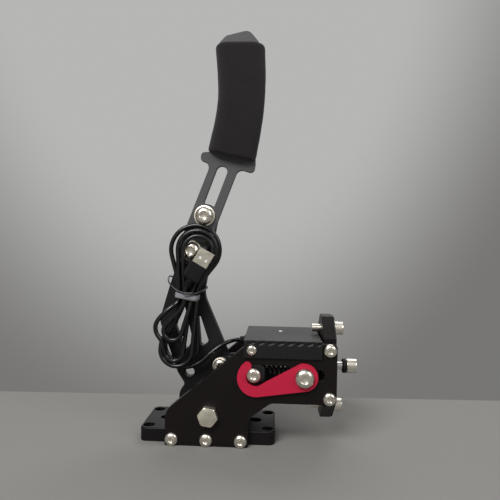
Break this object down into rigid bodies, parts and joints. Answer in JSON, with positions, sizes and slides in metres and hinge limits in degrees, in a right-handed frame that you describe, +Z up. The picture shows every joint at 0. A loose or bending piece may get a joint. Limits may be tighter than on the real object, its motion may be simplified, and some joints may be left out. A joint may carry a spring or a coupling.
{
  "type": "sim racing handbrake",
  "caption": "Sim racing handbrake: a foam-gripped lever on a bolt-down base pulls a sprung rod in an open plate housing, with a release hook, a travel sensor and a tied-up lead.",
  "frame": {"origin": "centre of the base block's underside, the middle of its four corner holes", "axes": "+X from the lever towards the end plate, +Y from the hook side to the far side, +Z up the lever"},
  "size_m": [0.1619, 0.0811, 0.3096],
  "materials": {
    "black_plate": "satin black coat",
    "base_metal": "satin black coat",
    "arm_metal": "satin black coat",
    "upper_arm_metal": "satin dark grey coat",
    "cover_metal": "satin dark grey coat",
    "hook_red": "satin red coat",
    "grip_foam": "fine closed-cell foam",
    "bright_screws": "stainless",
    "steel_bolts": "zinc plated",
    "ground_steel": "ground and bright",
    "bush_bronze": "oiled bronze",
    "spacer_metal": "turned",
    "spring_steel": "drawn wire",
    "carriage_plastic": "machined black plastic",
    "stop_rubber": "smooth rubber",
    "backing_rubber": "sheet rubber",
    "board_green": "coated circuit board",
    "chip_plastic": "moulded",
    "magnet_metal": "nickel plated",
    "lens_plastic": "clear lens",
    "cord_jacket": "soft black jacket",
    "band_grey": "grey tape",
    "tie_plastic": "coated wire",
    "plug_plastic": "moulded",
    "plug_metal": "nickel plated",
    "tongue_plastic": "moulded"
  },
  "bodies": {
    "housing": {"base_block": "base_metal", "near_side_plate": "black_plate", "far_side_plate": "black_plate", "foot_screws": "bright_screws", "end_screws": "bright_screws", "pivot_bolt": "steel_bolts", "pivot_washer": "steel_bolts", "pivot_nut": "steel_bolts", "pivot_sleeve": "ground_steel", "pivot_spacers": "spacer_metal", "rod_bush": "bush_bronze", "main_spring": "spring_steel", "return_spring": "spring_steel", "hook_bush": "bush_bronze", "hook_bolt": "bright_screws", "hook_nut": "steel_bolts", "end_plate": "black_plate", "backing_plate": "backing_rubber", "end_bolts": "bright_screws", "end_washers": "steel_bolts", "cover": "cover_metal", "cover_screws": "bright_screws", "cross_brace": "spacer_metal", "sensor_board": "board_green", "board_posts": "chip_plastic", "board_screws": "steel_bolts", "travel_sensor": "chip_plastic", "status_light": "lens_plastic", "cable_gland": "stop_rubber", "lead_run": "cord_jacket"},
    "lever": {"lower_arm": "arm_metal", "upper_arm": "upper_arm_metal", "grip_sleeve": "grip_foam", "pivot_bushes": "bush_bronze", "arm_bolts": "bright_screws", "arm_washers": "steel_bolts", "arm_nuts": "steel_bolts", "link_bolt": "bright_screws", "link_washers": "steel_bolts", "link_nut": "steel_bolts", "lead_hank": "cord_jacket", "cable_band": "band_grey", "arm_strap": "tie_plastic", "plug_overmould": "plug_plastic", "plug_shell": "plug_metal", "plug_tongue": "tongue_plastic"},
    "rod": {"pull_fork": "arm_metal", "pull_rod": "ground_steel", "bump_ring": "stop_rubber", "rod_head": "bright_screws", "thrust_collar": "spacer_metal", "sensor_magnet": "magnet_metal"},
    "carriage": {"carriage": "carriage_plastic", "mode_pins": "bright_screws"},
    "hook": {"hook": "hook_red"}
  },
  "joints": [
    {"name": "lever_pull", "type": "hinge", "parent": "housing", "child": "lever", "pos_m": [0.0015, 0, 0.0225], "axis": [0, -1, 0], "range_deg": [0, 13], "stiffness_Nm_per_rad": 60, "springref_deg": -2.86, "deforming": ["lead_run"]},
    {"name": "rod_slide", "type": "slide", "parent": "housing", "child": "rod", "axis": [-1, 0, 0], "range_m": [0, 0.0073], "deforming": ["main_spring", "return_spring"]},
    {"name": "carriage_slide", "type": "slide", "parent": "housing", "child": "carriage", "axis": [1, 0, 0], "range_m": [0, 0.005], "stiffness_N_per_m": 2000, "springref_m": -0.005},
    {"name": "hook_swing", "type": "hinge", "parent": "housing", "child": "hook", "pos_m": [0.07, 0, 0.0525], "axis": [0, -1, 0], "range_deg": [0, 60]}
  ],
  "couplings": [
    {"joint": "rod_slide", "follows": "lever_pull", "m_per_rad": 0.031932}
  ]
}
